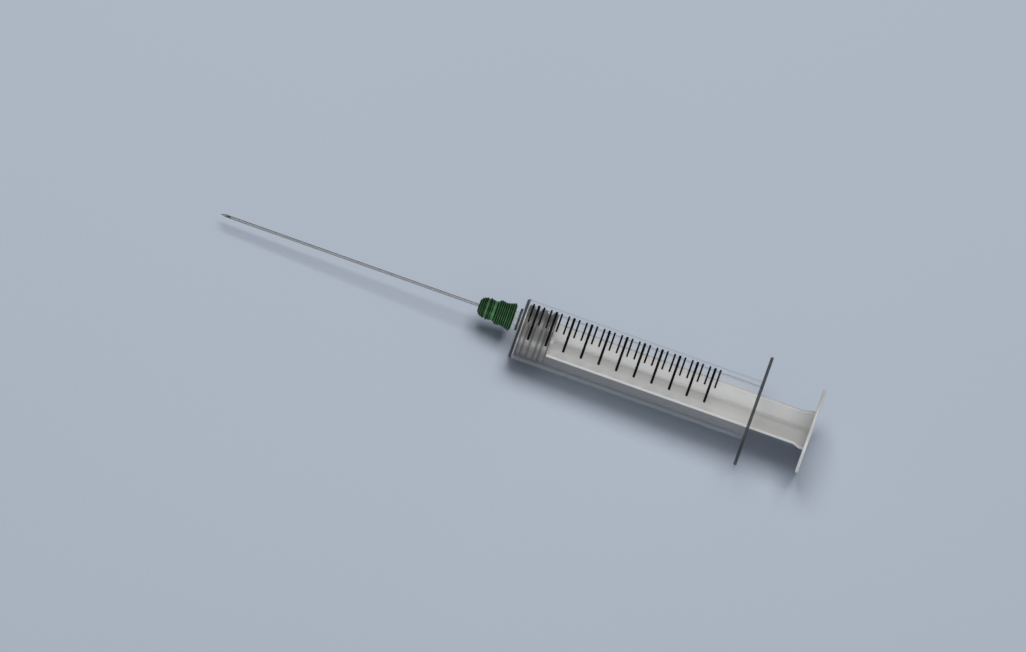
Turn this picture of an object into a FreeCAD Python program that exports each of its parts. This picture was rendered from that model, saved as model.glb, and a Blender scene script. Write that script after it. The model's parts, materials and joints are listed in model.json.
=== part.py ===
# A disposable 10 ml syringe with an off-centre slip nozzle and a long 0.8 x 80 mm needle in a green hub.
#
# Every piece is drawn in the syringe's own frame, in millimetres: x runs along the barrel's axis, from 0 at
# the barrel's front face towards the thumb rest, y runs across the finger flange and z points up.
# The finished pieces are then laid down together, as the syringe comes to rest on a table: on a flat side of
# its finger flange and on the round front edge of its barrel, with the needle's tip clear of the table.
import FreeCAD, Part
import math
import os

from FreeCAD import Vector

# Barrel: one clear moulding with the finger flange and the nozzle
bore_diameter = 15.3  # 10 ml in ten divisions of 5.45 mm
barrel_wall = 1.45
barrel_length = 73.5  # front face to the rear face of the finger flange
front_wall = 1.1
front_edge_round = 0.95
mouth_chamfer = 0.4
retaining_bead_height = 0.15  # keeps the stopper in the barrel
retaining_bead_width = 1.0
retaining_bead_depth = 2.4  # from the mouth to the bead's rear end

# Finger flange: a disc with two flat sides
flange_diameter = 33.3
flange_across_flats = 24.8
flange_thickness = 1.0
flange_root_round = 0.6
flange_edge_round = 0.3

# Nozzle: a male cone of 6 per cent taper on a low round boss, off the barrel's centre
nozzle_offset = 2.73
nozzle_boss_diameter = 6.7
nozzle_boss_length = 0.82
nozzle_bore_diameter = 2.0
luer_taper = 0.06
luer_tip_diameter = 3.95
luer_tip_round = 0.2
luer_engagement = 5.6  # length of the cone that the hub covers
luer_clearance = 0.02  # radial, all along the cone

# Scale: thin bars of ink round the barrel, a long bar each millilitre with a short one on either side
mark_count = 11
mark_pitch = 5.45
first_mark_distance = 3.97  # from the barrel's front face
short_mark_shift = 1.6
long_mark_width = 0.75
short_mark_width = 0.55
ink_thickness = 0.03
mark_start_angle = 33.4  # from the top of the barrel, towards the far side
long_mark_arc = 78.7
short_mark_arc = 47.0

# Stopper: one rubber moulding with three sealing rings
stopper_length = 9.2
stopper_front_gap = 0.05  # to the barrel's front wall, pushed right in
stopper_clearance = 0.03  # radial, sealing ring to bore
stopper_nose_diameter = 14.0
stopper_nose_bevel = 0.55
stopper_groove_depth = 0.7
stopper_ring_shoulder = 0.22
front_ring_end = 1.95
middle_ring_start = 3.8
middle_ring_end = 5.85
rear_ring_start = 7.3

# Snap head: the rod's mushroom head in the stopper's pocket
head_diameter = 8.6
head_lip = 0.5
head_cone_length = 2.4
head_tip_diameter = 4.6
neck_diameter = 5.2
neck_length = 1.9
head_clearance = 0.1

# Plunger rod: four ribs in a cross, with a round thumb rest
rib_span = 14.0  # tip to tip
rib_thickness = 1.0
rib_turn = 15.0  # from upright, about the barrel's axis
flare_span = 16.0
flare_length = 2.1
flare_to_thumb_rest = 1.1
thumb_rest_standoff = 16.65  # from the finger flange's rear face, pushed right in
thumb_rest_diameter = 25.4
thumb_rest_thickness = 1.0
thumb_rest_edge_round = 0.3
thumb_groove_count = 3
thumb_groove_pitch = 2.6
first_thumb_groove_radius = 4.2
thumb_groove_width = 0.7
thumb_groove_depth = 0.2

# Needle hub: a ringed sleeve with a female cone; places on its outline are distances from its rim
hub_length = 10.8
hub_standoff = 1.17  # from the nozzle's boss to the hub's rim
hub_socket_depth = 7.6
hub_rim_diameter = 6.7
hub_collar_diameter = 8.6
hub_collar_crest = 0.6
hub_collar_rear_width = 0.3
hub_collar_rear_diameter = 8.1
hub_collar_end = 2.1
hub_body_diameter = 7.5
hub_dip = 3.25
hub_dip_diameter = 7.1
hub_body_end = 4.95
hub_waist_start = 5.6
hub_waist_diameter = 5.9
hub_ring_start = 6.6
hub_ring_end = 7.9
hub_ring_diameter = 6.75
hub_neck_end = 8.5
hub_neck_diameter = 5.9
hub_knob_diameter = 6.3
hub_knob_crest = 9.6
hub_knob_crest_diameter = 5.9
hub_knob_round = 10.4
hub_knob_round_diameter = 4.9
hub_nose_diameter = 3.4
hub_groove_width = 0.36
hub_groove_depth = 0.26
hub_groove_pitch = 0.6
first_collar_groove = 1.05
collar_groove_count = 2
first_body_groove = 2.35
body_groove_count = 5
ring_groove = 7.35
first_knob_groove = 9.3
knob_groove_count = 3
glue_well_diameter = 1.9
glue_well_depth = 1.5
glue_dip = 0.35  # how far the glue's ring of surface sinks at its middle

# Cannula: a steel tube with a three-facet point
cannula_length = 80.0  # from the hub's nose to the point
cannula_diameter = 0.82
cannula_bore_diameter = 0.51
cannula_in_socket = 0.3
cannula_fit = 0.01  # radial, in the hub's bore
bevel_length = 3.35
point_facet_share = 0.45  # of the bevel's length
point_facet_turn = 36.0
point_facet_steepness = 1.35  # against the main bevel's slope
bevel_turn = -30.0  # from upright, towards the near side

# Sizes that follow from those above
bore_radius = bore_diameter / 2
barrel_radius = bore_radius + barrel_wall
flange_front = barrel_length - flange_thickness
boss_front = -nozzle_boss_length
hub_rim = boss_front - hub_standoff
hub_nose = hub_rim - hub_length
socket_end = hub_rim - hub_socket_depth
nozzle_tip = hub_rim - luer_engagement
needle_point = hub_nose - cannula_length
cannula_rear = socket_end + cannula_in_socket
cannula_radius = cannula_diameter / 2
socket_rim_radius = luer_tip_diameter / 2 + luer_taper / 2 * luer_engagement + luer_clearance
stopper_front = front_wall + stopper_front_gap
stopper_rear = stopper_front + stopper_length
thumb_rest_front = barrel_length + thumb_rest_standoff
thumb_rest_rear = thumb_rest_front + thumb_rest_thickness
plunger_travel = barrel_length - retaining_bead_depth - retaining_bead_width - stopper_rear - 0.1

BARREL_AXIS = Vector(1, 0, 0)
ORIGIN = Vector(0, 0, 0)
NEEDLE_LINE = Vector(0, nozzle_offset, 0)


def turned(points):
    """A solid turned about the barrel's axis from its half section, a closed list of (x, radius)."""
    corners = [Vector(x, 0, radius) for x, radius in points]
    outline = Part.makePolygon(corners + corners[:1])
    return Part.Face(outline).revolve(ORIGIN, BARREL_AXIS, 360)


def turned_outline(edges):
    """A solid turned about the barrel's axis from the edges of its half section."""
    return Part.Face(Part.Wire(Part.__sortEdges__(edges))).revolve(ORIGIN, BARREL_AXIS, 360)


def cylinder(start, end, diameter):
    """A round bar along the barrel's axis."""
    return Part.makeCylinder(diameter / 2, end - start, Vector(start, 0, 0), BARREL_AXIS)


def circles_at(shape, x, radius):
    """The circular edges of a shape at one station on the axis, with one radius."""
    found = []
    for edge in shape.Edges:
        round_edge = isinstance(edge.Curve, Part.Circle) and abs(edge.Curve.Radius - radius) < 1e-4
        if round_edge and abs(edge.Curve.Center.x - x) < 1e-4:
            found.append(edge)
    return found


# Barrel

def finger_flange():
    """The flange: a disc cut by two flat sides, with rounded edges."""
    disc = cylinder(flange_front, barrel_length, flange_diameter)
    band = Part.makeBox(flange_thickness, flange_diameter, flange_across_flats)
    band.translate(Vector(flange_front, -flange_diameter / 2, -flange_across_flats / 2))
    plate = disc.common(band)
    rim = []
    for edge in plate.Edges:
        box = edge.BoundBox
        if box.XLength < 1e-6:
            rim.append(edge)
    return plate.makeFillet(min(flange_edge_round, flange_thickness * 0.45), rim)


def nozzle():
    """The low boss and the cone, in line with the needle."""
    boss = cylinder(boss_front, front_wall / 2, nozzle_boss_diameter)
    tip_radius = luer_tip_diameter / 2
    root_radius = tip_radius + luer_taper / 2 * (boss_front - nozzle_tip)
    cone = turned([
        (nozzle_tip, 0),
        (nozzle_tip, tip_radius - luer_tip_round),
        (nozzle_tip + luer_tip_round, tip_radius + luer_taper / 2 * luer_tip_round),
        (boss_front, root_radius),
        (front_wall / 2, root_radius),
        (front_wall / 2, 0),
    ])
    whole = boss.fuse(cone)
    whole.translate(NEEDLE_LINE)
    return whole


def barrel():
    """The clear barrel with its flange, its nozzle and the bead that keeps the stopper in."""
    tube = cylinder(0, barrel_length, barrel_radius * 2)
    tube = tube.makeFillet(front_edge_round, circles_at(tube, 0, barrel_radius))
    root = turned([
        (flange_front - flange_root_round, 0),
        (flange_front - flange_root_round, barrel_radius),
        (flange_front, barrel_radius + flange_root_round),
        (flange_front + flange_thickness / 2, barrel_radius + flange_root_round),
        (flange_front + flange_thickness / 2, 0),
    ])
    hollow = Part.makeTorus(
        barrel_radius + flange_root_round, flange_root_round,
        Vector(flange_front - flange_root_round, 0, 0), BARREL_AXIS,
    )
    body = tube.fuse([finger_flange(), root.cut(hollow), nozzle()]).removeSplitter()
    bead_end = barrel_length - retaining_bead_depth
    bead_start = bead_end - retaining_bead_width
    bead_top = Vector((bead_start + bead_end) / 2, 0, bore_radius - retaining_bead_height)
    start = Vector(bead_start, 0, bore_radius)
    end = Vector(bead_end, 0, bore_radius)
    mouth = Vector(barrel_length - mouth_chamfer, 0, bore_radius)
    mouth_edge = Vector(barrel_length, 0, bore_radius + mouth_chamfer)
    corners = [
        mouth, mouth_edge, Vector(barrel_length + 1, 0, bore_radius + mouth_chamfer),
        Vector(barrel_length + 1, 0, 0), Vector(front_wall, 0, 0), Vector(front_wall, 0, bore_radius), start,
    ]
    edges = [Part.LineSegment(a, b).toShape() for a, b in zip(corners, corners[1:])]
    edges.append(Part.Arc(start, bead_top, end).toShape())
    edges.append(Part.LineSegment(end, mouth).toShape())
    passage = cylinder(nozzle_tip - 1, front_wall + 1, nozzle_bore_diameter)
    passage.translate(NEEDLE_LINE)
    return body.cut([turned_outline(edges), passage])


def scale_mark(x, width, arc):
    """One bar of ink on the barrel, from the scale's far edge towards the near side."""
    low = x - width / 2
    section = Part.makePolygon([
        Vector(low, 0, barrel_radius),
        Vector(low + width, 0, barrel_radius),
        Vector(low + width, 0, barrel_radius + ink_thickness),
        Vector(low, 0, barrel_radius + ink_thickness),
        Vector(low, 0, barrel_radius),
    ])
    bar = Part.Face(section).revolve(ORIGIN, BARREL_AXIS, arc)
    bar.rotate(ORIGIN, BARREL_AXIS, -mark_start_angle)
    return bar


def scale_marks():
    """All the bars of the scale, as separate solids."""
    bars = []
    for count in range(mark_count):
        x = first_mark_distance + count * mark_pitch
        bars.append(scale_mark(x - short_mark_shift, short_mark_width, short_mark_arc))
        bars.append(scale_mark(x, long_mark_width, long_mark_arc))
        bars.append(scale_mark(x + short_mark_shift, short_mark_width, short_mark_arc))
    return Part.makeCompound(bars)


# Plunger

def stopper():
    """The rubber stopper: a bevelled nose, three sealing rings and the pocket for the rod's head."""
    ring_radius = bore_radius - stopper_clearance
    groove_radius = ring_radius - stopper_groove_depth
    shoulder = stopper_ring_shoulder
    outline = [
        (0, 0),
        (0, stopper_nose_diameter / 2),
        (stopper_nose_bevel, ring_radius),
        (front_ring_end - shoulder, ring_radius),
        (front_ring_end, groove_radius),
        (middle_ring_start, groove_radius),
        (middle_ring_start + shoulder, ring_radius),
        (middle_ring_end - shoulder, ring_radius),
        (middle_ring_end, groove_radius),
        (rear_ring_start, groove_radius),
        (rear_ring_start + shoulder, ring_radius),
        (stopper_length - shoulder, ring_radius),
        (stopper_length, ring_radius - shoulder),
        (stopper_length, 0),
    ]
    body = turned(outline)
    pocket = turned(head_section(stopper_length, head_clearance))
    rubber = body.cut(pocket)
    rubber.translate(Vector(stopper_front, 0, 0))
    return rubber


def head_section(seat, clearance):
    """Half section of the neck and head that reach forwards from a seat, grown by a clearance."""
    lip_rear = seat - neck_length + clearance
    lip_front = lip_rear - head_lip - clearance
    tip = lip_front - head_cone_length - clearance
    return [
        (seat, 0),
        (seat, neck_diameter / 2 + clearance),
        (lip_rear, neck_diameter / 2 + clearance),
        (lip_rear, head_diameter / 2 + clearance),
        (lip_front, head_diameter / 2 + clearance),
        (tip, head_tip_diameter / 2 + clearance),
        (tip, 0),
    ]


def rod_rib():
    """One flat rib of the cross, right across the rod, with its flare at the thumb rest."""
    front = stopper_rear + head_clearance
    flare_end = thumb_rest_front - flare_to_thumb_rest
    upper = [
        (front, rib_span / 2),
        (flare_end - flare_length, rib_span / 2),
        (flare_end, flare_span / 2),
        (thumb_rest_front + thumb_rest_thickness / 2, flare_span / 2),
    ]
    lower = [(x, -height) for x, height in reversed(upper)]
    corners = [Vector(x, -rib_thickness / 2, height) for x, height in upper + lower]
    return Part.Face(Part.makePolygon(corners + corners[:1])).extrude(Vector(0, rib_thickness, 0))


def thumb_rest():
    """The round thumb rest, with shallow grip rings in its rear face."""
    disc = cylinder(thumb_rest_front, thumb_rest_rear, thumb_rest_diameter)
    rims = circles_at(disc, thumb_rest_front, thumb_rest_diameter / 2)
    rims += circles_at(disc, thumb_rest_rear, thumb_rest_diameter / 2)
    disc = disc.makeFillet(min(thumb_rest_edge_round, thumb_rest_thickness * 0.45), rims)
    floor = thumb_rest_rear - thumb_groove_depth
    for count in range(thumb_groove_count):
        inner = first_thumb_groove_radius + count * thumb_groove_pitch
        disc = disc.cut(turned([
            (floor, inner),
            (floor, inner + thumb_groove_width),
            (thumb_rest_rear + 1, inner + thumb_groove_width),
            (thumb_rest_rear + 1, inner),
        ]))
    return disc


def plunger_rod():
    """The white rod: snap head, neck, crossed ribs and thumb rest in one moulding."""
    head = turned(head_section(stopper_rear, 0))
    neck = cylinder(stopper_rear - neck_length / 2, stopper_rear + head_clearance + rib_thickness, neck_diameter)
    across = rod_rib()
    across.rotate(ORIGIN, BARREL_AXIS, 90)
    rod = head.fuse([neck, rod_rib(), across, thumb_rest()]).removeSplitter()
    rod.rotate(ORIGIN, BARREL_AXIS, -rib_turn)
    return rod


# Needle

def hub_outline():
    """The hub's outline, as (distance from the rim, radius): a rear collar, a body, a ring and a knob."""
    return [
        (0, hub_rim_diameter / 2),
        (hub_collar_rear_width, hub_collar_rear_diameter / 2),
        (hub_collar_crest, hub_collar_diameter / 2),
        (hub_collar_end, hub_body_diameter / 2),
        (hub_dip, hub_dip_diameter / 2),
        ((hub_dip + hub_body_end) / 2, hub_body_diameter / 2),
        (hub_body_end, hub_body_diameter / 2),
        (hub_waist_start, hub_waist_diameter / 2),
        (hub_ring_start, hub_waist_diameter / 2),
        (hub_ring_end, hub_ring_diameter / 2),
        (hub_ring_end + hub_groove_width / 2, hub_neck_diameter / 2),
        (hub_neck_end, hub_neck_diameter / 2),
        (hub_neck_end + hub_groove_width / 2, hub_knob_diameter / 2),
        (hub_knob_crest, hub_knob_crest_diameter / 2),
        (hub_knob_round, hub_knob_round_diameter / 2),
        (hub_length, hub_nose_diameter / 2),
    ]


def hub_radius(distance):
    """The hub's radius at a distance from its rim, on its outline."""
    points = hub_outline()
    for (near, near_radius), (far, far_radius) in zip(points, points[1:]):
        if near <= distance <= far:
            return near_radius + (far_radius - near_radius) * (distance - near) / (far - near)
    return points[-1][1]


def hub_groove(distance):
    """The ring of material that one grip groove takes away, pointed inwards and following the outline."""
    rear = hub_rim - distance + hub_groove_width / 2
    front = rear - hub_groove_width
    rear_radius = hub_radius(hub_rim - rear)
    front_radius = hub_radius(hub_rim - front)
    return turned([
        (rear, rear_radius + hub_groove_depth),
        (rear, rear_radius),
        (hub_rim - distance, hub_radius(distance) - hub_groove_depth),
        (front, front_radius),
        (front, front_radius + hub_groove_depth),
    ])


def needle_hub():
    """The green hub: grip rings outside, a female cone behind and a glue well in its nose."""
    outline = [(hub_rim, 0)]
    outline += [(hub_rim - distance, radius) for distance, radius in hub_outline()]
    outline.append((hub_nose, 0))
    body = turned(outline)
    grooves = [first_collar_groove + step * hub_groove_pitch for step in range(collar_groove_count)]
    grooves += [first_body_groove + step * hub_groove_pitch for step in range(body_groove_count)]
    grooves += [first_knob_groove + step * hub_groove_pitch for step in range(knob_groove_count)]
    grooves.append(ring_groove)
    body = body.cut([hub_groove(distance) for distance in grooves])
    floor_radius = socket_rim_radius - luer_taper / 2 * hub_socket_depth
    socket = turned([
        (hub_rim + 1, 0),
        (hub_rim + 1, socket_rim_radius + luer_taper / 2),
        (socket_end, floor_radius),
        (socket_end, 0),
    ])
    needle_bore = cylinder(hub_nose - 1, socket_end + 1, cannula_diameter + 2 * cannula_fit)
    well = cylinder(hub_nose - 1, hub_nose + glue_well_depth, glue_well_diameter)
    hub = body.cut([socket, needle_bore, well])
    hub.translate(NEEDLE_LINE)
    return hub


def cannula_adhesive():
    """The ring of glue round the needle in the hub's nose, with a dished surface."""
    inner = cannula_radius
    outer = glue_well_diameter / 2
    bottom = hub_nose + glue_well_depth
    surface = Part.Arc(
        Vector(hub_nose, 0, inner),
        Vector(hub_nose + glue_dip, 0, (inner + outer) / 2),
        Vector(hub_nose, 0, outer),
    ).toShape()
    sides = [Vector(hub_nose, 0, outer), Vector(bottom, 0, outer), Vector(bottom, 0, inner), Vector(hub_nose, 0, inner)]
    edges = [surface] + [Part.LineSegment(a, b).toShape() for a, b in zip(sides, sides[1:])]
    glue = turned_outline(edges)
    glue.translate(NEEDLE_LINE)
    return glue


def facet_cutter(length, turn):
    """A block that grinds one flat facet on the point, sloping across the tube in the given length."""
    slope = math.degrees(math.atan2(cannula_diameter, length))
    reach = 3 * bevel_length
    block = Part.makeBox(2 * reach, reach, reach)
    block.translate(Vector(-reach, -reach / 2, 0))
    block.rotate(ORIGIN, Vector(0, 1, 0), -slope)
    block.translate(Vector(needle_point, 0, -cannula_radius))
    block.rotate(Vector(needle_point, 0, 0), BARREL_AXIS, turn)
    return block


def cannula():
    """The steel needle: a tube ground to one long bevel and two side facets at its point."""
    tube = cylinder(needle_point, cannula_rear, cannula_diameter)
    tube = tube.cut(cylinder(needle_point - 1, cannula_rear + 1, cannula_bore_diameter))
    needle = tube.cut(facet_cutter(bevel_length, 0))
    for side in (-1, 1):
        block = facet_cutter(bevel_length / point_facet_steepness, side * point_facet_turn)
        needle = needle.cut(block)
    needle.rotate(ORIGIN, BARREL_AXIS, -bevel_turn)
    needle.translate(NEEDLE_LINE)
    return needle


# The syringe as it lies

def resting_tilt():
    """How far the nose dips, in degrees: the table touches the flange's lower front edge and the barrel's."""
    edge_round = min(flange_edge_round, flange_thickness * 0.45)
    rise = (flange_across_flats / 2 - edge_round) - (barrel_radius - front_edge_round)
    run = (flange_front + edge_round) - front_edge_round
    reach = math.hypot(rise, run)
    return math.degrees(math.atan2(rise, run) + math.asin((edge_round - front_edge_round) / reach))


def lay_down(pieces):
    """Tips the syringe to its rest, and sets the origin on the table under the middle of the whole."""
    tilt = resting_tilt()
    for shape in pieces.values():
        shape.rotate(ORIGIN, Vector(0, 1, 0), -tilt)
    box = Part.makeCompound(list(pieces.values())).optimalBoundingBox(False)
    shift = Vector(-box.Center.x, -box.Center.y, -box.ZMin)
    for shape in pieces.values():
        shape.translate(shift)
    return tilt, shift


def main():
    pieces = {
        "barrel": barrel(),
        "scale_marks": scale_marks(),
        "stopper": stopper(),
        "plunger_rod": plunger_rod(),
        "needle_hub": needle_hub(),
        "cannula": cannula(),
        "cannula_adhesive": cannula_adhesive(),
    }
    tilt, shift = lay_down(pieces)
    os.makedirs("parts", exist_ok=True)
    for name, shape in pieces.items():
        shape.exportStep("parts/" + name + ".step")
        print(name, "valid", shape.isValid(), "solids", len(shape.Solids), "volume", round(shape.Volume, 2))
    print("resting tilt", round(tilt, 4), "shift", shift, "travel", round(plunger_travel, 3))
    return pieces, tilt, shift


main()
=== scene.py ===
import json
import math

import bmesh
import bpy
from mathutils import Matrix, Vector


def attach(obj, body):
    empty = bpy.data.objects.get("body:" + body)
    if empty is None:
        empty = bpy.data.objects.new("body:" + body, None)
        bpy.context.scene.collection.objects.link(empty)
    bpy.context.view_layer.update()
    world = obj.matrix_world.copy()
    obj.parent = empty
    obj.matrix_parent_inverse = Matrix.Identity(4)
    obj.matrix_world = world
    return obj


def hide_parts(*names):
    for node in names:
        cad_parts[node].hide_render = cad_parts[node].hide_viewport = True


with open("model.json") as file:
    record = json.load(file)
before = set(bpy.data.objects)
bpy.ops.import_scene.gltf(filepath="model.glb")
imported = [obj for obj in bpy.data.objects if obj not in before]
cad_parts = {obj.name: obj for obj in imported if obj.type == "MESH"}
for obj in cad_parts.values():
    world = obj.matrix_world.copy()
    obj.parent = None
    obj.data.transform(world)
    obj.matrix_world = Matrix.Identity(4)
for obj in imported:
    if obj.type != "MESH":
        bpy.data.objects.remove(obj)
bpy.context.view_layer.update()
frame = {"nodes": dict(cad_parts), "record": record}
print("frame loaded:", ", ".join(sorted(frame["nodes"])))

mm = 0.001
weldDistance = 0.0005  # mm, closer points of a shape become one
tolerance = 0.01       # mm, for finding points by their place
creaseAngle = 32       # degrees, a sharper edge isn't smoothed

# The syringe's own axes: x along the barrel from its front face, y across the flange, z up from its side
syringe = {
    "thumbRestRear": 91.15,   # mm from the barrel's front face
    "nozzleOffset": 2.73,     # mm towards the far side
}
mounts = {mount["name"]: mount for mount in frame["record"]["mounts"]}
alongAxis = Vector(mounts["thumb_pad"]["axis"]).normalized()
acrossAxis = Vector((0, 1, 0))
upAxis = alongAxis.cross(acrossAxis).normalized()
barrelFront = Vector(mounts["thumb_pad"]["pos_m"]) - alongAxis * syringe["thumbRestRear"] * mm
place = Matrix((
    (alongAxis.x, acrossAxis.x, upAxis.x, barrelFront.x),
    (alongAxis.y, acrossAxis.y, upAxis.y, barrelFront.y),
    (alongAxis.z, acrossAxis.z, upAxis.z, barrelFront.z),
    (0, 0, 0, 1),
)) @ Matrix.Scale(mm, 4)


# Helpers for the pieces

# Spins an outline of (x, radius, corner round) points, in mm, about the syringe's axis
def turnedShape(outline, steps, closed=False):
    bm = bmesh.new()
    line = [bm.verts.new((x, 0, radius)) for x, radius, corner in outline]
    ends = line[1:] + line[:1] if closed else line[1:]
    for pair in zip(line, ends):
        bm.edges.new(pair)
    rounds = [corner for x, radius, corner in outline]
    for size in sorted(set(rounds) - {0}):
        chosen = [vertex for vertex, corner in zip(line, rounds) if corner == size]
        bmesh.ops.bevel(
            bm, geom=chosen, offset=size, offset_type="OFFSET", segments=3, profile=0.5,
            affect="VERTICES", material=-1, clamp_overlap=True,
        )
    bmesh.ops.spin(
        bm, geom=bm.verts[:] + bm.edges[:], cent=(0, 0, 0), axis=(1, 0, 0), dvec=(0, 0, 0),
        angle=math.tau, steps=steps, use_merge=True, use_duplicate=False,
    )
    bmesh.ops.remove_doubles(bm, verts=bm.verts, dist=weldDistance)
    bmesh.ops.recalc_face_normals(bm, faces=bm.faces)
    return bm


def looseObject(name, bm):
    mesh = bpy.data.meshes.new(name)
    bm.to_mesh(mesh)
    bm.free()
    piece = bpy.data.objects.new(name, mesh)
    bpy.context.scene.collection.objects.link(piece)
    return piece


# One closed shape from several that run into each other
def fused(shapes):
    solids = [looseObject("solid", bm) for bm in shapes]
    for other in solids[1:]:
        join = solids[0].modifiers.new("join", "BOOLEAN")
        join.operation = "UNION"
        join.solver = "EXACT"
        join.object = other
    graph = bpy.context.evaluated_depsgraph_get()
    whole = bpy.data.meshes.new_from_object(solids[0].evaluated_get(graph))
    bm = bmesh.new()
    bm.from_mesh(whole)
    bpy.data.meshes.remove(whole)
    for solid in solids:
        bpy.data.meshes.remove(solid.data)
    bmesh.ops.remove_doubles(bm, verts=bm.verts, dist=weldDistance)
    return bm


# Turns a bmesh in mm into a finished object in the row's frame, in place of a CAD node
def finishPiece(name, bm, material, node, body):
    bmesh.ops.recalc_face_normals(bm, faces=bm.faces)
    crease = math.radians(creaseAngle)
    for face in bm.faces:
        face.smooth = True
    for edge in bm.edges:
        edge.smooth = len(edge.link_faces) != 2 or edge.calc_face_angle(0) < crease
    piece = looseObject(name, bm)
    piece.data.transform(place)
    weighted = piece.modifiers.new("weighted", "WEIGHTED_NORMAL")
    weighted.keep_sharp = True
    weighted.weight = 80
    wearMaterial(piece, material)
    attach(piece, body)
    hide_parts(node)


def wearMaterial(piece, material):
    piece.data.materials.clear()
    piece.data.materials.append(material)


# Node groups that more than one material uses

def newGroup(name, inputs, outputs):
    group = bpy.data.node_groups.new(name, "ShaderNodeTree")
    for socketName, value in inputs:
        socket = group.interface.new_socket(socketName, in_out="INPUT", socket_type="NodeSocketFloat")
        socket.default_value = value
    for socketName in outputs:
        group.interface.new_socket(socketName, in_out="OUTPUT", socket_type="NodeSocketFloat")
    return group, group.nodes.new("NodeGroupInput"), group.nodes.new("NodeGroupOutput")


# Fine texture of a surface, and slow streaks that can be drawn out along the syringe
def mouldGrain():
    group, given, made = newGroup(
        "mouldGrain",
        [("Grain Scale", 9000.0), ("Streak Scale", 260.0), ("Streak Length", 0.12)],
        ["Grain", "Streaks"],
    )
    nodes, links = group.nodes, group.links
    coordinates = nodes.new("ShaderNodeTexCoord")
    grain = nodes.new("ShaderNodeTexNoise")
    grain.inputs["Detail"].default_value = 3.0
    links.new(coordinates.outputs["Object"], grain.inputs["Vector"])
    links.new(given.outputs["Grain Scale"], grain.inputs["Scale"])
    stretch = nodes.new("ShaderNodeCombineXYZ")
    stretch.inputs["Y"].default_value = 1.0
    stretch.inputs["Z"].default_value = 1.0
    links.new(given.outputs["Streak Length"], stretch.inputs["X"])
    lengthen = nodes.new("ShaderNodeVectorMath")
    lengthen.operation = "MULTIPLY"
    links.new(coordinates.outputs["Object"], lengthen.inputs[0])
    links.new(stretch.outputs["Vector"], lengthen.inputs[1])
    streaks = nodes.new("ShaderNodeTexNoise")
    streaks.inputs["Detail"].default_value = 2.0
    streaks.inputs["Roughness"].default_value = 0.45
    links.new(lengthen.outputs["Vector"], streaks.inputs["Vector"])
    links.new(given.outputs["Streak Scale"], streaks.inputs["Scale"])
    links.new(grain.outputs["Fac"], made.inputs["Grain"])
    links.new(streaks.outputs["Fac"], made.inputs["Streaks"])
    return group


mouldGrainGroup = mouldGrain()


# A node material with its Principled shader, and a shorthand for its nodes and links
def newMaterial(name):
    material = bpy.data.materials.new(name)
    material.use_nodes = True
    nodes = material.node_tree.nodes
    shader = next(n for n in nodes if n.type == "BSDF_PRINCIPLED")
    return material, nodes, material.node_tree.links, shader


def addGrain(nodes, grainScale, streakScale, streakLength):
    grain = nodes.new("ShaderNodeGroup")
    grain.node_tree = mouldGrainGroup
    grain.inputs["Grain Scale"].default_value = grainScale
    grain.inputs["Streak Scale"].default_value = streakScale
    grain.inputs["Streak Length"].default_value = streakLength
    return grain


# Maps a 0 to 1 field to a span of values
def addRange(nodes, links, source, low, high, fromLow=0.3, fromHigh=0.7):
    node = nodes.new("ShaderNodeMapRange")
    node.inputs["From Min"].default_value = fromLow
    node.inputs["From Max"].default_value = fromHigh
    node.inputs["To Min"].default_value = low
    node.inputs["To Max"].default_value = high
    links.new(source, node.inputs["Value"])
    return node.outputs["Result"]


def addRoughness(nodes, links, source, shader, span):
    links.new(addRange(nodes, links, source, *span), shader.inputs["Roughness"])


# Mixes two colours by a field. Each is a colour or another node's output
def addTint(nodes, links, source, first, second):
    node = nodes.new("ShaderNodeMix")
    node.data_type = "RGBA"
    for socket, value in ((node.inputs[6], first), (node.inputs[7], second)):
        if isinstance(value, tuple):
            socket.default_value = (*value, 1)
        else:
            links.new(value, socket)
    links.new(source, node.inputs["Factor"])
    return node.outputs[2]


# Mixes two values by a field. Each is a number or another node's output
def addBlend(nodes, links, source, first, second):
    node = nodes.new("ShaderNodeMix")
    for socket, value in ((node.inputs[2], first), (node.inputs[3], second)):
        if isinstance(value, (int, float)):
            socket.default_value = value
        else:
            links.new(value, socket)
    links.new(source, node.inputs["Factor"])
    return node.outputs["Result"]


def addBump(nodes, links, source, shader, distance, strength):
    node = nodes.new("ShaderNodeBump")
    node.inputs["Distance"].default_value = distance
    node.inputs["Strength"].default_value = strength
    links.new(source, node.inputs["Height"])
    links.new(node.outputs["Normal"], shader.inputs["Normal"])


endFaces = (0.75, 0.98)  # how much a surface looks along the syringe, from its sides to its end faces


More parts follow.
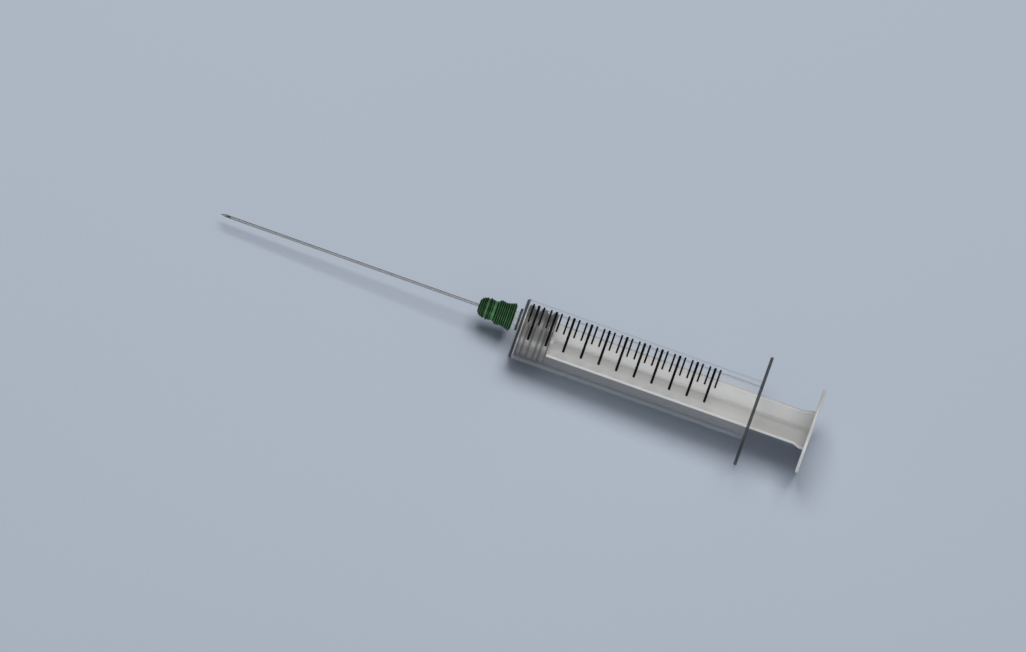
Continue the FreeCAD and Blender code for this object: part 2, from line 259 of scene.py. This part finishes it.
# Where a point lies on the syringe, in mm: along it from the barrel's front, and out from its axis.
# Facing Sideways is 1 where the surface looks away from the axis, and 0 on the end faces
def placeOnSyringe():
    group, given, made = newGroup(
        "placeOnSyringe", [("Axis Shift", 0.0)], ["Along", "From Axis", "Facing Sideways"],
    )
    nodes, links = group.nodes, group.links
    coordinates = nodes.new("ShaderNodeTexCoord")
    own = nodes.new("ShaderNodeMapping")
    own.vector_type = "TEXTURE"
    own.inputs["Location"].default_value = barrelFront
    own.inputs["Rotation"].default_value = place.to_euler()
    own.inputs["Scale"].default_value = (mm, mm, mm)
    links.new(coordinates.outputs["Object"], own.inputs["Vector"])
    parts = nodes.new("ShaderNodeSeparateXYZ")
    links.new(own.outputs["Vector"], parts.inputs["Vector"])
    sideways = nodes.new("ShaderNodeMath")
    sideways.operation = "SUBTRACT"
    links.new(parts.outputs["Y"], sideways.inputs[0])
    links.new(given.outputs["Axis Shift"], sideways.inputs[1])
    flat = nodes.new("ShaderNodeCombineXYZ")
    links.new(sideways.outputs["Value"], flat.inputs["X"])
    links.new(parts.outputs["Z"], flat.inputs["Y"])
    distance = nodes.new("ShaderNodeVectorMath")
    distance.operation = "LENGTH"
    links.new(flat.outputs["Vector"], distance.inputs[0])
    lengthwise = nodes.new("ShaderNodeVectorMath")
    lengthwise.operation = "DOT_PRODUCT"
    lengthwise.inputs[1].default_value = alongAxis
    links.new(coordinates.outputs["Normal"], lengthwise.inputs[0])
    slope = nodes.new("ShaderNodeMath")
    slope.operation = "ABSOLUTE"
    links.new(lengthwise.outputs["Value"], slope.inputs[0])
    links.new(parts.outputs["X"], made.inputs["Along"])
    links.new(distance.outputs["Value"], made.inputs["From Axis"])
    facing = addRange(nodes, links, slope.outputs["Value"], 1, 0, *endFaces)
    links.new(facing, made.inputs["Facing Sideways"])
    return group


placeOnSyringeGroup = placeOnSyringe()


def addPlace(nodes, axisShift=0.0):
    spot = nodes.new("ShaderNodeGroup")
    spot.node_tree = placeOnSyringeGroup
    spot.inputs["Axis Shift"].default_value = axisShift
    return spot


# A mask that is 1 at each given place along the syringe and fades to 0 at the half width
def addBands(nodes, links, along, middles, halfWidth):
    fadeStart = halfWidth * 0.35
    mask = None
    for middle in middles:
        away = nodes.new("ShaderNodeMath")
        away.operation = "SUBTRACT"
        away.inputs[1].default_value = middle
        links.new(along, away.inputs[0])
        size = nodes.new("ShaderNodeMath")
        size.operation = "ABSOLUTE"
        links.new(away.outputs["Value"], size.inputs[0])
        band = addRange(nodes, links, size.outputs["Value"], 1, 0, fadeStart, halfWidth)
        if mask is None:
            mask = band
            continue
        both = nodes.new("ShaderNodeMath")
        both.operation = "MAXIMUM"
        links.new(mask, both.inputs[0])
        links.new(band, both.inputs[1])
        mask = both.outputs["Value"]
    return mask


# In each look, grain is the scale of the fine texture, the scale of the streaks and its share along the
# syringe, which draws them out when small. Roughness is a span. Bump is a height in m and a strength

clearLook = {
    "grain": (3000, 180, 0.1),
    "light": (0.88, 0.87, 0.85),
    "streak": (0.78, 0.77, 0.75),
    "edge": (0.20, 0.215, 0.23),    # painted shade where the wall is seen edge on
    "paintedShadeRim": (0.020, 0.023, 0.026),  # painted shade at the rims of the flange and the front wall, where the plastic is seen deep
    "frontFilm": 0.042,             # opacity of a wall seen face on
    "edgeFilm": 0.62,
    "edgeTurn": (0.5, 0.97),        # how far the wall turns away from view where the film thickens
    "edgeTone": (0.45, 0.75),       # and where it takes the painted shade
    "deepFilm": 0.94,
    "nozzle": (0.36, 0.40, 0.38),
    "nozzleFilm": 0.45,
    "backFilm": 0.05,               # of the wall's other side
    "shadowFilm": 0.80,             # share of the light that the barrel keeps from the floor behind it
    "flangeShadow": 0.35,           # the same for the thin flange
    "innerShadow": 0.0,             # and for what is inside the barrel
    "skin": (8.2, 8.6),             # mm from the axis, between the bore and the outside
    "flange": (9.8, 10.2),          # mm from the axis
    "frontWall": (1.3, 0.9),        # mm from the front
    "nozzleEnd": (-0.02, -0.1),
    "boss": (2.6, 3.0),             # mm from the nozzle's own axis
    "roughness": (0.14, 0.22),
    "deepRoughness": 0.5,
    "gloss": 1.0,
    "edgeGloss": 0.1,               # of the nozzle too
    "deepGloss": 0.0,
    "glossRoughness": 0.14,
    "glossIndex": 1.75,             # strong, because the film lets most of it through
    "index": 1.49,
    "specular": 0.2,
    "bump": (0.00002, 0.1),
}


# Clear moulded plastic: faintly milky face on, denser where it is seen edge on, with painted shade there and
# on its rims
def clearPlastic():
    look = clearLook
    material, nodes, links, shader = newMaterial("clearPlastic")
    grain = addGrain(nodes, *look["grain"])
    spot = addPlace(nodes)
    skin = addRange(nodes, links, spot.outputs["From Axis"], 0, 1, *look["skin"])
    flange = addRange(nodes, links, spot.outputs["From Axis"], 0, 1, *look["flange"])
    wall = addRange(nodes, links, spot.outputs["Along"], 0, 1, *look["frontWall"])
    front = addBlend(nodes, links, wall, 0.0, skin)
    rims = addBlend(nodes, links, flange, front, 1.0)
    nozzle = addRange(nodes, links, spot.outputs["Along"], 0, 1, *look["nozzleEnd"])
    nozzleSpot = addPlace(nodes, syringe["nozzleOffset"])
    boss = addRange(nodes, links, nozzleSpot.outputs["From Axis"], 0, 1, *look["boss"])
    rims = addBlend(nodes, links, nozzle, rims, boss)
    # painted shade: the rims of the flange, the front wall and the nozzle's boss turn near black and lose
    # their gloss
    paintedShadeRim = addBlend(nodes, links, spot.outputs["Facing Sideways"], 0.0, rims)
    weight = nodes.new("ShaderNodeLayerWeight")
    weight.inputs["Blend"].default_value = 0.5
    grazing = addRange(nodes, links, weight.outputs["Facing"], 0, 1, *look["edgeTurn"])
    # painted shade: the wall's colour darkens where it turns edge on
    edgeShadePainted = addRange(nodes, links, weight.outputs["Facing"], 0, 1, *look["edgeTone"])
    body = addTint(nodes, links, grain.outputs["Streaks"], look["streak"], look["light"])
    body = addTint(nodes, links, nozzle, body, look["nozzle"])
    body = addTint(nodes, links, edgeShadePainted, body, look["edge"])
    links.new(addTint(nodes, links, paintedShadeRim, body, look["paintedShadeRim"]), shader.inputs["Base Color"])
    roughness = addRange(nodes, links, grain.outputs["Streaks"], *look["roughness"])
    links.new(addBlend(nodes, links, paintedShadeRim, roughness, look["deepRoughness"]), shader.inputs["Roughness"])
    shader.inputs["IOR"].default_value = look["index"]
    shader.inputs["Specular IOR Level"].default_value = look["specular"]
    gloss = addBlend(nodes, links, nozzle, look["gloss"], look["edgeGloss"])
    gloss = addBlend(nodes, links, grazing, gloss, look["edgeGloss"])
    links.new(addBlend(nodes, links, paintedShadeRim, gloss, look["deepGloss"]), shader.inputs["Coat Weight"])
    shader.inputs["Coat Roughness"].default_value = look["glossRoughness"]
    shader.inputs["Coat IOR"].default_value = look["glossIndex"]
    addBump(nodes, links, grain.outputs["Streaks"], shader, *look["bump"])
    film = addBlend(nodes, links, nozzle, look["frontFilm"], look["nozzleFilm"])
    film = addBlend(nodes, links, grazing, film, look["edgeFilm"])
    film = addBlend(nodes, links, paintedShadeRim, film, look["deepFilm"])
    geometry = nodes.new("ShaderNodeNewGeometry")
    film = addBlend(nodes, links, geometry.outputs["Backfacing"], film, look["backFilm"])
    shade = addBlend(nodes, links, skin, look["innerShadow"], look["shadowFilm"])
    shade = addBlend(nodes, links, flange, shade, look["flangeShadow"])
    shade = addBlend(nodes, links, geometry.outputs["Backfacing"], shade, look["innerShadow"])
    ray = nodes.new("ShaderNodeLightPath")
    film = addBlend(nodes, links, ray.outputs["Is Shadow Ray"], film, shade)
    links.new(film, shader.inputs["Alpha"])
    return material


inkLook = {
    "grain": (5200, 900, 1.0),
    "dark": (0.001, 0.001, 0.001),
    "light": (0.004, 0.004, 0.004),
    "roughness": (0.5, 0.7),
    "specular": 0.05,
    "bump": (0.00001, 0.3),
}


# Matte black ink, a little thin in places
def printedInk():
    look = inkLook
    material, nodes, links, shader = newMaterial("printedInk")
    grain = addGrain(nodes, *look["grain"])
    body = addTint(nodes, links, grain.outputs["Streaks"], look["dark"], look["light"])
    links.new(body, shader.inputs["Base Color"])
    addRoughness(nodes, links, grain.outputs["Grain"], shader, look["roughness"])
    shader.inputs["Specular IOR Level"].default_value = look["specular"]
    addBump(nodes, links, grain.outputs["Grain"], shader, *look["bump"])
    return material


rubberLook = {
    "grain": (5200, 420, 1.0),
    "dark": (0.030, 0.030, 0.030),
    "light": (0.044, 0.0435, 0.043),
    "paintedShadeAtRoots": (0.004, 0.004, 0.004),  # painted shade where the rings rise
    "rootShadeWidth": 0.5,                # mm to each side
    "roughness": (0.36, 0.5),
    "specular": 0.2,
    "gloss": 0.6,
    "rootShadeGloss": 0.0,
    "glossRoughness": 0.38,
    "bump": (0.00003, 0.3),
}


# Dark grey rubber with a fine bloom, with painted shade and no gloss where its rings rise from the grooves
def stopperRubber():
    look = rubberLook
    material, nodes, links, shader = newMaterial("stopperRubber")
    grain = addGrain(nodes, *look["grain"])
    paintedShadeAtRoots = [stopper["front"] + edge for ring in stopper["rings"] for edge in ring]
    # painted shade: dark bands without gloss at each ring's edges
    corners = addBands(nodes, links, addPlace(nodes).outputs["Along"], paintedShadeAtRoots, look["rootShadeWidth"])
    body = addTint(nodes, links, grain.outputs["Streaks"], look["dark"], look["light"])
    links.new(addTint(nodes, links, corners, body, look["paintedShadeAtRoots"]), shader.inputs["Base Color"])
    addRoughness(nodes, links, grain.outputs["Streaks"], shader, look["roughness"])
    shader.inputs["Specular IOR Level"].default_value = look["specular"]
    links.new(addBlend(nodes, links, corners, look["gloss"], look["rootShadeGloss"]), shader.inputs["Coat Weight"])
    shader.inputs["Coat Roughness"].default_value = look["glossRoughness"]
    addBump(nodes, links, grain.outputs["Grain"], shader, *look["bump"])
    return material


rodLook = {
    "grain": (6000, 210, 0.14),
    "dark": (0.376, 0.374, 0.366),
    "light": (0.432, 0.430, 0.421),
    "roughness": (0.34, 0.47),
    "subsurface": 0.1,
    "subsurfaceDepth": 0.0005,       # m
    "bump": (0.00002, 0.25),
}


# Opaque off-white moulding with flow streaks and a satin skin
def rodPlastic():
    look = rodLook
    material, nodes, links, shader = newMaterial("rodPlastic")
    grain = addGrain(nodes, *look["grain"])
    body = addTint(nodes, links, grain.outputs["Streaks"], look["dark"], look["light"])
    links.new(body, shader.inputs["Base Color"])
    addRoughness(nodes, links, grain.outputs["Streaks"], shader, look["roughness"])
    shader.inputs["Subsurface Weight"].default_value = look["subsurface"]
    shader.inputs["Subsurface Scale"].default_value = look["subsurfaceDepth"]
    addBump(nodes, links, grain.outputs["Grain"], shader, *look["bump"])
    return material


hubLook = {
    "grain": (6500, 520, 0.5),
    "dark": (0.024, 0.108, 0.030),
    "light": (0.039, 0.143, 0.045),
    # painted shade in the grooves and at the outline's turns
    "grooves": (0.001, 0.005, 0.002),
    "grooveWidth": 0.34,             # mm to each side
    "roughness": (0.42, 0.54),
    "specular": 0.2,
    "subsurface": 0.05,
    "subsurfaceDepth": 0.0002,       # m
    "bump": (0.00001, 0.25),
}


# Green moulding, a little see-through, with painted shade in its grooves and where its outline turns
def hubPlastic():
    look = hubLook
    material, nodes, links, shader = newMaterial("hubPlastic")
    grain = addGrain(nodes, *look["grain"])
    # painted shade: dark bands at the grooves and where the outline turns
    middles = [hub["rim"] - distance for distance in hubGrooves() + list(hub["steps"])]
    grooves = addBands(nodes, links, addPlace(nodes).outputs["Along"], middles, look["grooveWidth"])
    body = addTint(nodes, links, grain.outputs["Streaks"], look["dark"], look["light"])
    links.new(addTint(nodes, links, grooves, body, look["grooves"]), shader.inputs["Base Color"])
    addRoughness(nodes, links, grain.outputs["Streaks"], shader, look["roughness"])
    shader.inputs["Specular IOR Level"].default_value = look["specular"]
    shader.inputs["Subsurface Weight"].default_value = look["subsurface"]
    shader.inputs["Subsurface Scale"].default_value = look["subsurfaceDepth"]
    addBump(nodes, links, grain.outputs["Grain"], shader, *look["bump"])
    return material


steelLook = {
    "grain": (5200, 9000, 0.004),
    "dark": (0.15, 0.153, 0.157),
    "light": (0.21, 0.213, 0.217),
    "roughness": (0.42, 0.50),
    "bump": (0.000002, 0.2),
}


# Drawn steel with fine lines along the tube
def needleSteel():
    look = steelLook
    material, nodes, links, shader = newMaterial("needleSteel")
    grain = addGrain(nodes, *look["grain"])
    body = addTint(nodes, links, grain.outputs["Streaks"], look["dark"], look["light"])
    links.new(body, shader.inputs["Base Color"])
    addRoughness(nodes, links, grain.outputs["Streaks"], shader, look["roughness"])
    shader.inputs["Metallic"].default_value = 1.0
    addBump(nodes, links, grain.outputs["Streaks"], shader, *look["bump"])
    return material


glueLook = {
    "grain": (4000, 900, 1.0),
    "dark": (0.72, 0.76, 0.70),
    "light": (0.82, 0.85, 0.80),
    "roughness": (0.05, 0.12),
    "film": 0.6,
}


# A clear bead of glue
def clearGlue():
    look = glueLook
    material, nodes, links, shader = newMaterial("clearGlue")
    grain = addGrain(nodes, *look["grain"])
    body = addTint(nodes, links, grain.outputs["Streaks"], look["dark"], look["light"])
    links.new(body, shader.inputs["Base Color"])
    addRoughness(nodes, links, grain.outputs["Streaks"], shader, look["roughness"])
    shader.inputs["Alpha"].default_value = look["film"]
    return material


# CAD nodes that keep their shape and get their finish

finishes = {
    "barrel": clearPlastic(),
    "scale_marks": printedInk(),
    "cannula": needleSteel(),
    "cannula_adhesive": clearGlue(),
}
for node, material in finishes.items():
    wearMaterial(frame["nodes"][node], material)
print("finishes given to", len(finishes), "nodes")


# Stopper: three sealing rings with soft lips, and the pocket for the rod's head

stopper = {
    "front": 1.15,            # mm, in the barrel
    "length": 9.2,
    "ringRadius": 7.62,
    "grooveRadius": 6.92,
    "noseRadius": 7.0,
    "noseBevel": 0.55,
    "rings": ((0.55, 1.95), (3.8, 5.85), (7.3, 9.2)),  # where each starts and ends
    "shoulder": 0.22,
    "lipRound": 0.16,
    "rootRound": 0.24,
    "rearRound": 0.08,
    "pocketRadius": 4.4,
    "pocketNeck": 2.7,
    "pocketRear": 7.4,
    "pocketFront": 6.8,
    "pocketTip": 4.3,
    "pocketTipRadius": 2.4,
    "turnSteps": 112,         # round the axis
}


def buildStopper():
    s = stopper
    points = [(0, 0, 0), (0, s["noseRadius"], s["lipRound"])]
    for start, end in s["rings"]:
        if start > s["noseBevel"]:
            points.append((start, s["grooveRadius"], s["rootRound"]))
            start += s["shoulder"]
        points.append((start, s["ringRadius"], s["lipRound"]))
        points.append((end - s["shoulder"], s["ringRadius"], s["lipRound"]))
        if end < s["length"]:
            points.append((end, s["grooveRadius"], s["rootRound"]))
    points += [
        (s["length"], s["ringRadius"] - s["shoulder"], s["rearRound"]),
        (s["length"], s["pocketNeck"], s["lipRound"]),
        (s["pocketRear"], s["pocketNeck"], 0),
        (s["pocketRear"], s["pocketRadius"], 0),
        (s["pocketFront"], s["pocketRadius"], 0),
        (s["pocketTip"], s["pocketTipRadius"], 0),
        (s["pocketTip"], 0, 0),
    ]
    bm = turnedShape(points, s["turnSteps"])
    bmesh.ops.translate(bm, verts=bm.verts, vec=(s["front"], 0, 0))
    finishPiece("rubberStopper", bm, stopperRubber(), "stopper", "stopper_body")


buildStopper()


# Plunger rod: crossed ribs with rounded tips, the neck and head in the stopper, and the thumb rest

rod = {
    "ribTip": 7.0,            # mm from the axis
    "ribThickness": 1.0,
    "ribTurn": -15.0,         # degrees about the axis
    "ribFront": 10.45,
    "ribFrontRound": 0.12,
    "flareStart": 86.95,
    "flareEnd": 89.05,
    "flareTip": 8.0,
    "thumbFront": 90.15,
    "thumbRear": 91.15,
    "thumbRadius": 12.7,
    "thumbRound": 0.3,
    "thumbSteps": 128,        # round the axis
    "grooves": (4.2, 6.8, 9.4),  # inner radius of each grip ring
    "grooveWidth": 0.7,
    "grooveDepth": 0.2,
    "grooveRound": 0.08,
    "tipRound": 0.26,
    "rootRound": 0.25,
    "neckRadius": 2.6,
    "neckRound": 0.1,
    "neckSunk": 1.0,          # into the ribs
    "ribsSunk": 0.4,          # into the thumb rest
    "headRadius": 4.3,
    "headTipRadius": 2.3,
    "headTip": 5.55,
    "headFront": 7.95,
    "headRear": 8.45,
    "headRound": 0.2,
    "headSteps": 64,
}


# The cross of ribs: its section is extruded, and its tips spread before the thumb rest
def ribCross():
    r = rod
    half = r["ribThickness"] / 2
    bm = bmesh.new()
    corners = []
    for quarter in range(4):
        turn = Matrix.Rotation(quarter * math.pi / 2, 3, "X")
        for y, z in ((half, half), (half, r["ribTip"]), (-half, r["ribTip"])):
            corners.append(bm.verts.new(turn @ Vector((r["ribFront"], y, z))))
    bm.faces.new(corners)
    bmesh.ops.bevel(
        bm, geom=corners[0::3], offset=r["rootRound"], offset_type="OFFSET", segments=4, profile=0.5,
        affect="VERTICES", material=-1, clamp_overlap=True,
    )
    tips = [v for v in bm.verts if max(abs(v.co.y), abs(v.co.z)) > r["ribTip"] - tolerance]
    bmesh.ops.bevel(
        bm, geom=tips, offset=r["tipRound"], offset_type="OFFSET", segments=3, profile=0.5,
        affect="VERTICES", material=-1, clamp_overlap=True,
    )
    stations = (
        (r["flareStart"], 0), (r["flareEnd"], r["flareTip"] - r["ribTip"]),
        (r["thumbFront"] + r["ribsSunk"], 0),
    )
    section = bm.faces[:]
    reached = r["ribFront"]
    for x, spread in stations:
        grown = bmesh.ops.extrude_face_region(bm, geom=section)["geom"]
        if reached > r["ribFront"]:
            bmesh.ops.delete(bm, geom=section, context="FACES_ONLY")  # it would stay as a wall inside
        section = [part for part in grown if isinstance(part, bmesh.types.BMFace)]
        verts = [part for part in grown if isinstance(part, bmesh.types.BMVert)]
        bmesh.ops.translate(bm, verts=verts, vec=(x - reached, 0, 0))
        for vert in verts:
            if abs(vert.co.z) > r["ribTip"] / 2:
                vert.co.z += math.copysign(spread, vert.co.z)
            elif abs(vert.co.y) > r["ribTip"] / 2:
                vert.co.y += math.copysign(spread, vert.co.y)
        reached = x
    bmesh.ops.recalc_face_normals(bm, faces=bm.faces)
    front = [e for e in bm.edges if all(abs(v.co.x - r["ribFront"]) < tolerance for v in e.verts)]
    bmesh.ops.bevel(
        bm, geom=front, offset=r["ribFrontRound"], offset_type="OFFSET", segments=2, profile=0.5,
        affect="EDGES", material=-1, clamp_overlap=True,
    )
    return bm


# The round thumb rest with shallow grip rings in its rear face
def thumbRest():
    r = rod
    rear = r["thumbRear"]
    floor = rear - r["grooveDepth"]
    points = [(r["thumbFront"], 0, 0), (r["thumbFront"], r["thumbRadius"], r["thumbRound"]),
              (rear, r["thumbRadius"], r["thumbRound"])]
    for inner in reversed(r["grooves"]):
        outer = inner + r["grooveWidth"]
        for x, radius in ((rear, outer), (floor, outer), (floor, inner), (rear, inner)):
            points.append((x, radius, r["grooveRound"]))
    points.append((rear, 0, 0))
    return turnedShape(points, r["thumbSteps"])


# The neck and the mushroom head inside the stopper
def snapHead():
    r = rod
    neckEnd = r["ribFront"] + r["neckSunk"]
    points = [
        (r["headTip"], 0, 0), (r["headTip"], r["headTipRadius"], r["headRound"]),
        (r["headFront"], r["headRadius"], r["headRound"]), (r["headRear"], r["headRadius"], r["neckRound"]),
        (r["headRear"], r["neckRadius"], 0), (neckEnd, r["neckRadius"], r["neckRound"]), (neckEnd, 0, 0),
    ]
    return turnedShape(points, r["headSteps"])


def buildRod():
    bm = fused([ribCross(), thumbRest(), snapHead()])
    turn = Matrix.Rotation(math.radians(rod["ribTurn"]), 3, "X")
    bmesh.ops.rotate(bm, verts=bm.verts, cent=(0, 0, 0), matrix=turn)
    finishPiece("plungerRod", bm, rodPlastic(), "plunger_rod", "rod_body")


buildRod()


# Needle hub: ringed outside, a cone for the nozzle behind and a well for the glue in front

hub = {
    "rim": -1.99,             # mm, its rear end on the syringe's axis
    "length": 10.8,
    "outline": (              # distance from the rim, radius, round
        (0.0, 3.35, 0.12), (0.3, 4.05, 0.12), (0.6, 4.3, 0.15), (2.1, 3.75, 0.0), (3.25, 3.55, 0.0),
        (4.1, 3.75, 0.0), (4.95, 3.75, 0.2), (5.6, 2.95, 0.25), (6.6, 2.95, 0.1), (7.9, 3.375, 0.12),
        (8.06, 2.95, 0.05), (8.5, 2.95, 0.05), (8.66, 3.15, 0.1), (9.6, 2.95, 0.0), (10.4, 2.45, 0.2),
        (10.8, 1.7, 0.2),
    ),
    "grooveRows": ((1.05, 2), (2.35, 5), (7.35, 1), (9.3, 3)),  # first groove, how many
    "groovePitch": 0.6,
    "steps": (0.4, 5.5, 6.75, 7.8, 8.85),  # where the outline turns, with painted shade as dark as a groove's
    "grooveWidth": 0.36,
    "grooveDepth": 0.26,
    "grooveRound": 0.06,
    "grooveRootRound": 0.05,
    "mouthRound": 0.05,
    "socketDepth": 7.6,
    "socketRim": 2.163,
    "socketFloor": 1.935,
    "boreRadius": 0.42,
    "wellRadius": 0.95,
    "wellDepth": 1.5,
    "turnSteps": 96,
}


# The middle of each groove, in mm from the rim
def hubGrooves():
    pitch = hub["groovePitch"]
    return [first + number * pitch for first, count in hub["grooveRows"] for number in range(count)]


# How wide the hub is without its grooves
def hubRadius(distance):
    points = hub["outline"]
    for near, far in zip(points, points[1:]):
        if near[0] <= distance <= far[0]:
            return near[1] + (far[1] - near[1]) * (distance - near[0]) / (far[0] - near[0])


def buildHub():
    h = hub
    points = list(h["outline"])
    half = h["grooveWidth"] / 2
    for middle in hubGrooves():
        points = [p for p in points if abs(p[0] - middle) > half]
        points += [(middle - half, hubRadius(middle - half), h["grooveRound"]),
                   (middle, hubRadius(middle) - h["grooveDepth"], h["grooveRootRound"]),
                   (middle + half, hubRadius(middle + half), h["grooveRound"])]
    points.sort()
    points += [
        (h["length"], h["wellRadius"], h["mouthRound"]),
        (h["length"] - h["wellDepth"], h["wellRadius"], 0),
        (h["length"] - h["wellDepth"], h["boreRadius"], 0),
        (h["socketDepth"], h["boreRadius"], 0),
        (h["socketDepth"], h["socketFloor"], 0),
        (0, h["socketRim"], h["mouthRound"]),
    ]
    outline = [(h["rim"] - distance, radius, corner) for distance, radius, corner in points]
    bm = turnedShape(outline, h["turnSteps"], closed=True)
    bmesh.ops.translate(bm, verts=bm.verts, vec=(0, syringe["nozzleOffset"], 0))
    finishPiece("greenHub", bm, hubPlastic(), "needle_hub", "needle_body")


buildHub()
print("stopper, rod and hub modelled")


# Floor, light and camera

studio = {
    "floorSize": 5.0,       # m to each side
    "floorGrain": (900, 6, 1.0),
    "floorColor": (0.565, 0.635, 0.74),
    "floorShade": (0.545, 0.615, 0.72),
    "floorRoughness": (0.62, 0.72),
    "lightsAim": (0, 0, 0.01),  # m
    "skyColor": (0.86, 0.92, 1.0),
    "skyStrength": 0.18,
}


def buildFloor():
    bm = bmesh.new()
    bmesh.ops.create_grid(bm, x_segments=2, y_segments=2, size=studio["floorSize"])
    floor = looseObject("studioFloor", bm)
    material, nodes, links, shader = newMaterial("floorPaint")
    grain = addGrain(nodes, *studio["floorGrain"])
    paint = addTint(nodes, links, grain.outputs["Streaks"], studio["floorShade"], studio["floorColor"])
    links.new(paint, shader.inputs["Base Color"])
    addRoughness(nodes, links, grain.outputs["Grain"], shader, studio["floorRoughness"])
    wearMaterial(floor, material)
    return floor


studioFloor = buildFloor()

# Place, size across and up in metres, power in watts and colour. The fills leave the floor out
lights = {
    "key": {
        "at": (-0.08, 0.31, 1.36), "width": 0.95, "height": 0.85, "power": 12.6, "color": (1.0, 0.99, 0.975),
    },
    "nearFill": {
        "at": (0.1, -1.2, 0.34), "width": 1.8, "height": 0.6, "power": 18.0, "color": (0.98, 0.99, 1.0),
    },
    "farFill": {
        "at": (0.8, 0.85, 0.6), "width": 1.6, "height": 0.7, "power": 7.5, "color": (0.98, 0.99, 1.0),
    },
}


def buildLights():
    target = Vector(studio["lightsAim"])
    leftOut = bpy.data.collections.new("leftOutByFills")
    leftOut.objects.link(studioFloor)
    leftOut.collection_objects[0].light_linking.link_state = "EXCLUDE"
    for name, values in lights.items():
        data = bpy.data.lights.new(name, "AREA")
        data.shape = "RECTANGLE"
        data.size = values["width"]
        data.size_y = values["height"]
        data.energy = values["power"]
        data.color = values["color"]
        lamp = bpy.data.objects.new(name, data)
        lamp.location = values["at"]
        lamp.rotation_mode = "QUATERNION"
        lamp.rotation_quaternion = (target - lamp.location).to_track_quat("-Z", "Y")
        bpy.context.scene.collection.objects.link(lamp)
        if "Fill" in name:
            lamp.light_linking.receiver_collection = leftOut
        lamp.visible_glossy = name != "farFill"  # the far fill only lifts the shaded side
    world = bpy.data.worlds.new("studioSky")
    world.use_nodes = True
    sky = world.node_tree.nodes["Background"]
    sky.inputs["Color"].default_value = (*studio["skyColor"], 1)
    sky.inputs["Strength"].default_value = studio["skyStrength"]
    bpy.context.scene.world = world


buildLights()

camera = {
    "elevation": 60.0,      # degrees, from the syringe's side towards its top
    "roll": 19.5,           # degrees, the thumb rest's end lower
    "aim": -1.4,            # mm on the barrel's axis
    "pictureWidth": 299.1,  # mm across the picture
    "distance": 1200.0,
}


def buildCamera():
    tip = math.radians(camera["elevation"])
    roll = math.radians(camera["roll"])
    towards = upAxis * math.sin(tip) - acrossAxis * math.cos(tip)
    upPicture = acrossAxis * math.sin(tip) + upAxis * math.cos(tip)
    right = alongAxis * math.cos(roll) + upPicture * math.sin(roll)
    up = upPicture * math.cos(roll) - alongAxis * math.sin(roll)
    data = bpy.data.cameras.new("camera")
    data.type = "ORTHO"
    data.ortho_scale = camera["pictureWidth"] * mm
    data.clip_start = 0.01
    data.clip_end = 20
    eye = barrelFront + alongAxis * camera["aim"] * mm + towards * camera["distance"] * mm
    viewer = bpy.data.objects.new("camera", data)
    viewer.matrix_world = Matrix((
        (right.x, up.x, towards.x, eye.x),
        (right.y, up.y, towards.y, eye.y),
        (right.z, up.z, towards.z, eye.z),
        (0, 0, 0, 1),
    ))
    bpy.context.scene.collection.objects.link(viewer)
    bpy.context.scene.camera = viewer


buildCamera()
bpy.context.scene.view_settings.view_transform = "Standard"
print("camera and lights in place")
